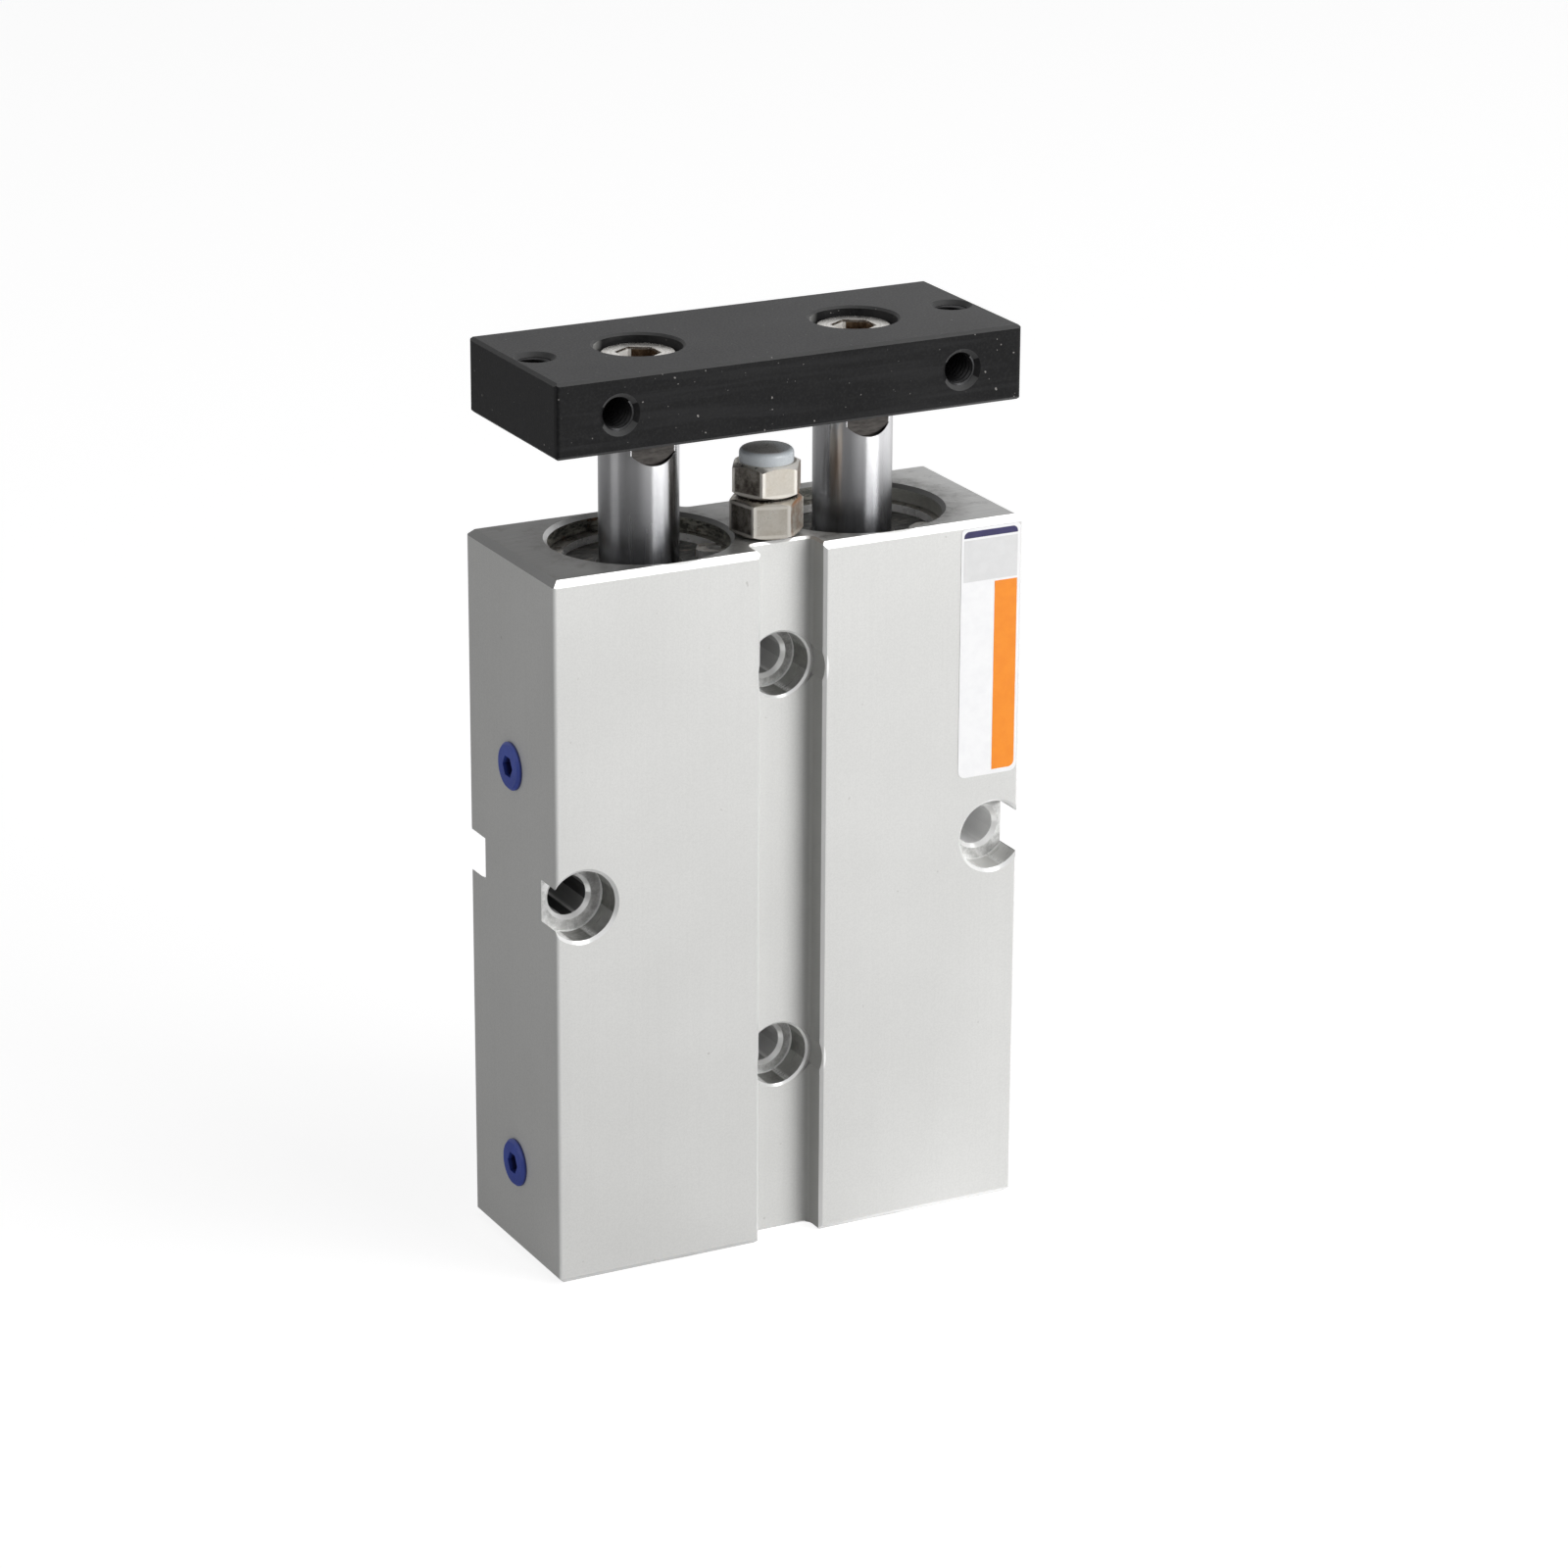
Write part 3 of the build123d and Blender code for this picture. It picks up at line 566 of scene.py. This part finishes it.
def plate_material():
    """Satin black anodising: edges lighter as wear and painted highlight, a painted sheen on faces turned
    left and on the counterbores' walls, a top paler with dust and painted sheen, and a little pale dust.
    """
    s = Surface("plate_black_anodised")
    s.shader.inputs["Specular IOR Level"].default_value = 0.11
    x, _, _ = s.axes(s.place)
    facing_x, _, facing_z = s.axes(s.facing)
    up = s.away(facing_z)
    grain = s.noise(3800.0, detail=2.0)
    clouds = s.noise(90.0, detail=4.0)
    drag = s.streaks((40.0, 900.0, 900.0))
    dust = s.noise(1900.0, detail=1.0)
    base = s.mix(s.ramp(clouds, 0.3, 0.7), (0.006, 0.006, 0.0065), (0.011, 0.011, 0.0115))
    base = s.mix(s.ramp(grain, 0.45, 0.75, 0.0, 0.35), base, (0.03, 0.03, 0.03))
    base = s.mix(s.ramp(drag, 0.50, 0.66, 0.0, 0.4), base, (0.026, 0.026, 0.027))
    # A painted sheen on faces turned to the left.
    base = s.mix(s.ramp(facing_x, -0.6, -0.9, 0.0, 0.6), base, (0.048, 0.048, 0.049))
    # The top: paler with dust and painted sheen, darker towards the left and paler towards the right as
    # painted light.
    top_dust_and_sheen = s.mix(s.ramp(clouds, 0.3, 0.7), (0.062, 0.062, 0.063), (0.078, 0.078, 0.079))
    top_dust_and_sheen = s.mix(s.ramp(x, PLATE_LOW.x, PLATE_HIGH.x, 0.2, 0.0), top_dust_and_sheen, (0.03, 0.03, 0.03))
    top_dust_and_sheen = s.mix(s.ramp(x, 0.0, PLATE_HIGH.x, 0.0, 0.3), top_dust_and_sheen, (0.14, 0.14, 0.138))
    base = s.mix(s.square_to(facing_z), base, top_dust_and_sheen)
    bore_wall = s.product(s.below(s.rod_distance(), PLATE_BORE_REACH), s.along(up))
    # Painted light on the left side of each counterbore's wall.
    painted_lit_wall = s.product(bore_wall, s.ramp(s.from_axis_x(), -2.5 * MM, -4.0 * MM))
    base = s.mix(painted_lit_wall, base, (0.22, 0.22, 0.215))
    base = s.mix(s.ramp(dust, 0.755, 0.80, 0.0, 0.7), base, (0.36, 0.345, 0.33))
    # Chamfers lighter, partly wear and partly a painted highlight.
    s.color(s.mix(s.product(s.slanted_to(up), 0.32), base, (0.20, 0.20, 0.20)))
    s.roughness(s.ramp(grain, 0.3, 0.7, 0.40, 0.54))
    s.bump(grain, 0.3, 0.03 * MM)
    return s.material


def plated_steel(name, colour, tint, roughness=0.25):
    """Nickel-plated steel with warm stains and soft dull patches."""
    s = Surface(name, metallic=1.0)
    patches = s.noise(450.0, detail=5.0, roughness=0.65)
    fine = s.noise(3000.0, detail=2.0)
    s.color(s.mix(s.ramp(patches, 0.4, 0.75), colour, tint))
    s.roughness(s.ramp(patches, 0.3, 0.7, roughness, roughness + 0.15))
    s.bump(s.total(patches, s.product(fine, 0.4)), 0.12, 0.04 * MM)
    return s.material


def screw_material():
    """Nickel-plated socket screw: a bright turned rim and a brown, oily socket with a painted highlight
    on one wall.
    """
    s = Surface("screw_nickel")
    _, _, z = s.axes(s.place)
    rings = s.rings(2600.0)
    patches = s.noise(650.0, detail=5.0, roughness=0.7)
    sunk = s.below(z, SCREW_HIGH.z - 0.35 * MM, 0.2 * MM)
    socket = s.product(s.below(s.rod_distance(), SOCKET_REACH), sunk)
    rim = s.mix(s.ramp(rings, 0.40, 0.60), (0.97, 0.95, 0.91), (0.84, 0.81, 0.76))
    rim = s.mix(s.ramp(patches, 0.63, 0.69, 0.0, 0.8), rim, (0.24, 0.19, 0.13))
    inside = s.mix(s.ramp(patches, 0.35, 0.55), (0.34, 0.24, 0.15), (0.12, 0.075, 0.045))
    # A painted highlight on the socket's upper wall near its axis.
    high = s.above(z, SCREW_HIGH.z - 1.3 * MM, 0.3 * MM)
    painted_lit_wall = s.product(s.band(s.from_axis_x(), -1.9 * MM, 0.3 * MM, SOFT), high, socket)
    inside = s.mix(painted_lit_wall, inside, (0.95, 0.93, 0.89))
    s.metallic(s.mix_value(socket, 1.0, s.mix_value(painted_lit_wall, 0.4, 0.0)))
    s.color(s.mix(socket, rim, inside))
    s.roughness(s.ramp(patches, 0.3, 0.7, 0.2, 0.3))
    s.bump(patches, 0.03, 0.03 * MM)
    return s.material


def adjuster_material():
    """Warm nickel plating, worn pale at the corners, with painted shade on faces turned left, a painted
    highlight on the crown's right, browned round the seam, and painted shade in the seam and along the
    nut's base.
    """
    s = Surface("adjuster_nickel")
    x, y, z = s.axes(s.place)
    facing_x, _, facing_z = s.axes(s.facing)
    up = s.away(facing_z)
    patches = s.noise(520.0, detail=5.0, roughness=0.7)
    fine = s.noise(3200.0, detail=2.0)
    base = s.mix(s.ramp(patches, 0.4, 0.7), (0.70, 0.66, 0.59), (0.52, 0.475, 0.40))
    # Painted shade on faces turned to the left.
    left_face_shade = s.product(s.ramp(facing_x, -0.35, -0.6), s.ramp(patches, 0.35, 0.6, 0.6, 0.97))
    base = s.mix(left_face_shade, base, (0.045, 0.035, 0.028))

    from_axis = s.length(x, s.math("SUBTRACT", y, ADJUSTER_Y))
    corners = s.above(from_axis, ADJUSTER_CORNER, 0.12 * MM)
    rim_heights = (NUT_LOW.z + 0.55 * MM, NUT_HIGH.z - 0.7 * MM, NUT_HIGH.z + 0.7 * MM)
    from_rims = s.least(*(s.away(z, height) for height in rim_heights))
    rims = s.product(s.below(from_rims, 0.12 * MM, 0.13 * MM), 0.6)
    worn = s.product(s.greatest(corners, rims), s.along(up))
    base = s.mix(s.product(worn, 0.85), base, (0.98, 0.94, 0.87))

    crown = s.product(s.above(z, BOLT_HIGH.z - 0.4 * MM, 0.2 * MM), s.slanted_to(up))
    base = s.mix(crown, base, (0.85, 0.81, 0.74))
    base = s.mix(s.product(crown, s.ramp(patches, 0.50, 0.56)), base, (0.06, 0.05, 0.045))
    # A painted highlight on the right part of the crown.
    crown_highlight = s.product(crown, s.above(x, -1.6 * MM, 0.6 * MM))
    base = s.mix(crown_highlight, base, (0.98, 0.95, 0.89))
    s.metallic(s.mix_value(crown_highlight, 0.75, 0.1))

    wobble = s.product(s.math("SUBTRACT", patches, 0.5), 1.2 * MM)
    from_seam = s.away(s.total(z, wobble), NUT_HIGH.z + 0.1 * MM)
    copper = s.product(s.ramp(facing_x, 0.5, 0.7), s.ramp(patches, 0.44, 0.60, 0.0, 0.6))
    base = s.mix(copper, base, (0.40, 0.235, 0.14))
    near_seam = s.product(s.ramp(facing_x, 0.3, 0.5), s.below(from_seam, 0.5 * MM, 0.5 * MM))
    near_seam = s.product(near_seam, s.ramp(patches, 0.40, 0.50, 0.0, 0.85))
    base = s.mix(near_seam, base, (0.60, 0.30, 0.14))
    # Painted shade in the gap between head and nut, and a painted contact shadow along the nut's base.
    base_contact_shadow = s.below(z, NUT_LOW.z + 0.15 * MM, 0.15 * MM)
    seam = s.greatest(s.below(from_seam, 0.10 * MM, 0.12 * MM), base_contact_shadow)
    s.color(s.mix(seam, base, (0.05, 0.036, 0.027)))
    s.roughness(s.ramp(patches, 0.3, 0.7, 0.26, 0.42))
    s.bump(s.total(patches, s.product(fine, 0.4)), 0.15, 0.05 * MM)
    return s.material


def moulded_skin(s, smooth, rough):
    """The fine skin of a moulding, with its roughness between two values."""
    skin = s.noise(5200.0, detail=1.0)
    s.roughness(s.ramp(skin, 0.3, 0.7, smooth, rough))
    s.bump(skin, 0.15, 0.02 * MM)


def pad_material():
    """Satin grey resin, darker on its top, and lighter towards the top's right as a painted highlight."""
    s = Surface("pad_resin")
    x, _, _ = s.axes(s.place)
    _, _, up = s.axes(s.facing)
    clouds = s.noise(380.0, detail=4.0)
    wall = s.mix(s.ramp(clouds, 0.3, 0.7), (0.62, 0.66, 0.69), (0.54, 0.58, 0.61))
    # The top is darker, and lighter towards its right as a painted highlight.
    top_dark_and_highlight = s.product(s.ramp(up, 0.82, 0.97), s.ramp(x, 1.6 * MM, 0.2 * MM, 0.2, 1.0))
    s.color(s.mix(top_dark_and_highlight, wall, s.mix(clouds, (0.32, 0.31, 0.30), (0.42, 0.405, 0.395))))
    moulded_skin(s, 0.24, 0.38)
    return s.material


def plug_material():
    """Blue moulded port plug, painted dark inside its hexagon as shade."""
    s = Surface("plug_blue")
    x, _, _ = s.axes(s.place)
    clouds = s.noise(380.0)
    blue = s.mix(s.ramp(clouds, 0.3, 0.7), (0.055, 0.098, 0.47), (0.04, 0.07, 0.37))
    # Painted shade where the plug lies inside the port.
    sunk_shade = s.above(x, BARREL_LOW.x, 0.35 * MM)
    s.color(s.mix(sunk_shade, blue, (0.02, 0.025, 0.12)))
    moulded_skin(s, 0.34, 0.48)
    return s.material


def moulded_plastic(name, colour, shade):
    """Moulded plastic with a fine skin and slight colour variation."""
    s = Surface(name)
    clouds = s.noise(380.0)
    s.color(s.mix(s.ramp(clouds, 0.3, 0.7), colour, shade))
    moulded_skin(s, 0.34, 0.48)
    return s.material


def film_material(name, colour, shade):
    """Printed label film: slightly uneven ink with a smooth skin."""
    s = Surface(name)
    ink = s.noise(900.0)
    skin = s.noise(2600.0, detail=2.0)
    s.color(s.mix(s.ramp(ink, 0.35, 0.65), colour, shade))
    s.roughness(s.ramp(skin, 0.3, 0.7, 0.28, 0.4))
    s.bump(skin, 0.08, 0.02 * MM)
    return s.material


def rubber_material(name, shade):
    """Black rubber or ferrite with a faint moulded grain."""
    s = Surface(name)
    grain = s.noise(4000.0, detail=2.0)
    s.color(s.mix(grain, (shade,) * 3, (shade * 1.8,) * 3))
    s.roughness(s.ramp(grain, 0.3, 0.7, 0.45, 0.65))
    s.bump(grain, 0.2, 0.03 * MM)
    return s.material


def node_materials():
    """One material for each material slot of the record."""
    return {
        "barrel_anodised": barrel_material(),
        "bearing_alloy": bearing_material(),
        "cover_alloy": turned_metal("cover_alloy", (0.60, 0.60, 0.59), (0.45, 0.45, 0.44)),
        "seal_rubber": rubber_material("seal_rubber", 0.02),
        "ring_steel": ring_steel_material(),
        "plate_black_anodised": plate_material(),
        "rod_chrome": chrome_material(),
        "piston_alloy": turned_metal("piston_alloy", (0.62, 0.62, 0.61), (0.5, 0.5, 0.49)),
        "wear_ring_resin": moulded_plastic("wear_ring_resin", (0.62, 0.55, 0.42), (0.5, 0.44, 0.33)),
        "magnet_ferrite": rubber_material("magnet_ferrite", 0.05),
        "bumper_rubber": rubber_material("bumper_rubber", 0.03),
        "nut_steel": plated_steel("nut_steel", (0.5, 0.5, 0.5), (0.4, 0.39, 0.37)),
        "screw_nickel": screw_material(),
        "adjuster_nickel": adjuster_material(),
        "pad_resin": pad_material(),
        "plug_blue": plug_material(),
    }


def dress_nodes():
    """Give every CAD node its slot's material."""
    materials = node_materials()
    for entry in frame["record"]["subparts"]:
        mesh = frame["nodes"][entry["node"]].data
        mesh.materials.clear()
        mesh.materials.append(materials[entry["material_slot"]])


# Pieces that the CAD leaves to this script


def finish_piece(name, build, material, body):
    """Turn a bmesh into a piece with a material, which rides on a body."""
    bmesh.ops.recalc_face_normals(build, faces=build.faces)
    mesh = bpy.data.meshes.new(name)
    build.to_mesh(mesh)
    build.free()
    mesh.materials.append(material)
    piece = bpy.data.objects.new(name, mesh)
    bpy.context.scene.collection.objects.link(piece)
    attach(piece, body)


def rounded_outline(left, right, low, high, radii):
    """Corner points of a rectangle, from the lower left and anticlockwise, each corner rounded."""
    corners = ((left, low), (right, low), (right, high), (left, high))
    points = []
    for index, ((x, z), radius) in enumerate(zip(corners, radii)):
        inward_x = 1.0 if x == left else -1.0
        inward_z = 1.0 if z == low else -1.0
        centre_x = x + inward_x * radius
        centre_z = z + inward_z * radius
        steps = ROUNDING_STEPS if radius > 0.0 else 1
        for step in range(steps):
            turn = math.pi + (index + step / max(steps - 1, 1)) * math.pi / 2
            points.append((centre_x + radius * math.cos(turn), centre_z + radius * math.sin(turn)))
    return points


def film_piece(name, area, radii, back, thickness, material):
    """A thin flat film on the front face, over an area given as left, right, low and high."""
    build = bmesh.new()
    points = rounded_outline(*area, radii)
    rings = []
    for y in (back, back - thickness):
        rings.append([build.verts.new((x, y, z)) for x, z in points])
    build.faces.new(rings[0])
    build.faces.new(rings[1])
    for index in range(len(points)):
        after = (index + 1) % len(points)
        build.faces.new((rings[0][index], rings[0][after], rings[1][after], rings[1][index]))
    finish_piece(name, build, material, "barrel")


def make_label():
    """The label, with its words left out: white film, orange stripe, pale field and dark top line."""
    white = film_material("label_white", (0.97, 0.97, 0.975), (0.93, 0.93, 0.94))
    orange = film_material("label_orange", (0.98, 0.30, 0.012), (0.95, 0.275, 0.01))
    grey = film_material("label_grey", (0.78, 0.78, 0.78), (0.75, 0.75, 0.75))
    navy = film_material("label_navy", (0.035, 0.03, 0.12), (0.03, 0.026, 0.10))
    stripe_left = LABEL_RIGHT - 3.6 * MM
    inner_left = LABEL_LEFT + 0.35 * MM
    inner_right = LABEL_RIGHT - 0.4 * MM
    field_low = LABEL_HIGH - 6.9 * MM
    line_low = LABEL_HIGH - 1.2 * MM
    front = FRONT_FACE - LABEL_THICKNESS
    round_all = (1.0 * MM, 1.0 * MM, 0.6 * MM, 0.6 * MM)
    whole = (LABEL_LEFT, LABEL_RIGHT, LABEL_LOW, LABEL_HIGH)
    film_piece("label", whole, round_all, FRONT_FACE, LABEL_THICKNESS, white)
    stripe = (stripe_left, inner_right, LABEL_LOW + 0.6 * MM, field_low - 0.3 * MM)
    field = (inner_left, inner_right, field_low, line_low - 0.3 * MM)
    line = (inner_left, inner_right, line_low, LABEL_HIGH - 0.35 * MM)
    prints = (
        ("label_stripe", stripe, orange, (0.0, 0.8 * MM, 0.0, 0.0)),
        ("label_field", field, grey, (0.0, 0.0, 0.0, 0.0)),
        ("label_line", line, navy, (0.0, 0.0, 0.7 * MM, 0.7 * MM)),
    )
    for name, area, material, corners in prints:
        film_piece(name, area, corners, front, PRINT_THICKNESS, material)


def thread_piece(name, start, end, material):
    """A helical ridge that stands in from the wall of a tapped hole, from start to end."""
    build = bmesh.new()
    axis = (end - start).normalized()
    first = axis.orthogonal().normalized()
    second = axis.cross(first)
    length = (end - start).length
    steps = int(length / THREAD_PITCH * STEPS_PER_TURN)
    half_root = 0.42 * THREAD_PITCH
    half_crest = 0.08 * THREAD_PITCH
    profile = (
        (THREAD_ROOT, -half_root),
        (THREAD_CREST, -half_crest),
        (THREAD_CREST, half_crest),
        (THREAD_ROOT, half_root),
    )
    rings = []
    for step in range(steps + 1):
        turn = 2.0 * math.pi * step / STEPS_PER_TURN
        outward = first * math.cos(turn) + second * math.sin(turn)
        along = THREAD_PITCH * step / STEPS_PER_TURN
        ring = []
        for radius, offset in profile:
            height = min(max(along + offset, 0.0), length)
            ring.append(build.verts.new(start + outward * radius + axis * height))
        rings.append(ring)
    count = len(profile)
    for ring, following in zip(rings, rings[1:]):
        for index in range(count):
            after = (index + 1) % count
            build.faces.new((ring[index], ring[after], following[after], following[index]))
    build.faces.new(rings[0])
    build.faces.new(rings[-1])
    finish_piece(name, build, material, "rod_assembly")


def make_threads():
    """Threads in the plate's tapped holes: two through its top and two through its front."""
    material = plated_steel("thread_worn", (0.07, 0.07, 0.072), (0.03, 0.03, 0.03), 0.35)
    for side, sign in (("left", -1.0), ("right", 1.0)):
        low = Vector((sign * TOP_TAP_X, 0.0, PLATE_LOW.z + THREAD_MARGIN))
        high = Vector((sign * TOP_TAP_X, 0.0, PLATE_HIGH.z - THREAD_MARGIN))
        thread_piece("plate_thread_top_" + side, low, high, material)
        near = Vector((sign * FRONT_TAP_X, PLATE_LOW.y + THREAD_MARGIN, TAP_Z))
        far = Vector((sign * FRONT_TAP_X, PLATE_HIGH.y - THREAD_MARGIN, TAP_Z))
        thread_piece("plate_thread_front_" + side, near, far, material)


# Studio

# Brightness of the surroundings round the object, as (angle, brightness), where 0 degrees is the
# front of the photograph's view and 90 its right: dim in front and at the left, with a wide bright
# window at the right
SURROUND = (
    (-180.0, 0.30),
    (-130.0, 0.10),
    (-86.0, 0.04),
    (-51.0, 0.05),
    (-36.0, 0.01),
    (-21.0, 0.03),
    (-7.0, 0.01),
    (7.0, 0.12),
    (21.0, 0.23),
    (36.0, 0.22),
    (51.0, 0.26),
    (68.0, 0.58),
    (86.0, 0.90),
    (130.0, 0.85),
    (180.0, 0.30),
)


def surround(s, direction):
    """Brightness of the surroundings in a direction about the vertical axis."""
    x, y, _ = s.axes(direction)
    side = (math.cos(CAMERA_AZIMUTH), -math.sin(CAMERA_AZIMUTH))
    front = (-math.sin(CAMERA_AZIMUTH), -math.cos(CAMERA_AZIMUTH))
    across = s.total(s.product(x, side[0]), s.product(y, side[1]))
    along = s.total(s.product(x, front[0]), s.product(y, front[1]))
    turn = s.ramp(s.math("ARCTAN2", across, along), -math.pi, math.pi)
    ramp = s.node("ShaderNodeValToRGB")
    stops = ramp.color_ramp.elements
    while len(stops) < len(SURROUND):
        stops.new(0.5)
    for stop, (angle, level) in zip(stops, SURROUND):
        stop.position = angle / 360.0 + 0.5
        stop.color = (level, level, level, 1.0)
    s.feed(ramp.inputs["Fac"], turn)
    return ramp.outputs["Color"]


def area_light(name, place, aim, size, power):
    """A rectangular soft light that looks at a point."""
    data = bpy.data.lights.new(name, "AREA")
    data.shape = "RECTANGLE"
    data.size, data.size_y = size
    data.energy = power
    light = bpy.data.objects.new(name, data)
    light.location = place
    light.rotation_mode = "QUATERNION"
    light.rotation_quaternion = (Vector(aim) - Vector(place)).to_track_quat("-Z", "Y")
    bpy.context.scene.collection.objects.link(light)


def make_lights():
    """Soft studio light: a large key at the front right, a top light and a weak fill at the left."""
    middle = (0.0, 0.0, 0.06)
    area_light("key", (0.98, -1.58, 0.30), middle, (1.3, 1.3), 36.0)
    area_light("top", (0.50, -0.39, 1.05), middle, (0.5, 0.5), 3.0)
    area_light("left_fill", (-1.3, 0.15, 0.35), middle, (0.6, 0.9), 2.3)


def make_floor():
    """A pale floor that looks white to the camera and keeps the object's soft shadow."""
    mesh = bpy.data.meshes.new("floor")
    build = bmesh.new()
    bmesh.ops.create_grid(build, x_segments=8, y_segments=8, size=6.0)
    build.to_mesh(mesh)
    build.free()
    floor = bpy.data.objects.new("floor", mesh)
    floor.location = (0.0, 0.0, BARREL_LOW.z - 0.05 * MM)
    bpy.context.scene.collection.objects.link(floor)
    s = Surface("floor")
    s.shader.inputs["Specular IOR Level"].default_value = 0.0
    s.roughness(0.9)
    s.color((0.36, 0.36, 0.36))
    rays = s.node("ShaderNodeLightPath")
    mirrored = s.mix(rays.outputs["Is Glossy Ray"], (0.36, 0.36, 0.36), surround(s, s.place))
    seen = s.mix(rays.outputs["Is Camera Ray"], mirrored, (0.86, 0.86, 0.86))
    s.feed(s.shader.inputs["Emission Color"], seen)
    s.shader.inputs["Emission Strength"].default_value = 1.0
    mesh.materials.append(s.material)


class Surround(Surface):
    """The world's nodes, with the same short calls as a material's."""

    def __init__(self):
        world = bpy.data.worlds.new("studio")
        bpy.context.scene.world = world
        world.use_nodes = True
        self.tree = world.node_tree
        self.tree.nodes.clear()
        self.place = self.node("ShaderNodeTexCoord").outputs["Generated"]
        self.shader = self.node("ShaderNodeBackground")
        output = self.node("ShaderNodeOutputWorld")
        self.tree.links.new(self.shader.outputs["Background"], output.inputs["Surface"])


def make_world():
    """A white surround for the camera, the uneven one for mirror rays, and a dim grey for the rest."""
    s = Surround()
    rays = s.node("ShaderNodeLightPath")
    _, _, height = s.axes(s.place)
    soft = s.mix(s.ramp(height, 0.0, 0.3), surround(s, s.place), (0.80, 0.80, 0.805))
    lit = s.mix(rays.outputs["Is Glossy Ray"], (0.13, 0.13, 0.132), soft)
    s.feed(s.shader.inputs["Color"], s.mix(rays.outputs["Is Camera Ray"], lit, (1.0, 1.0, 1.0)))


make_camera()
dress_nodes()
make_label()
make_threads()
make_lights()
make_floor()
make_world()
bpy.context.scene.view_settings.view_transform = "Standard"
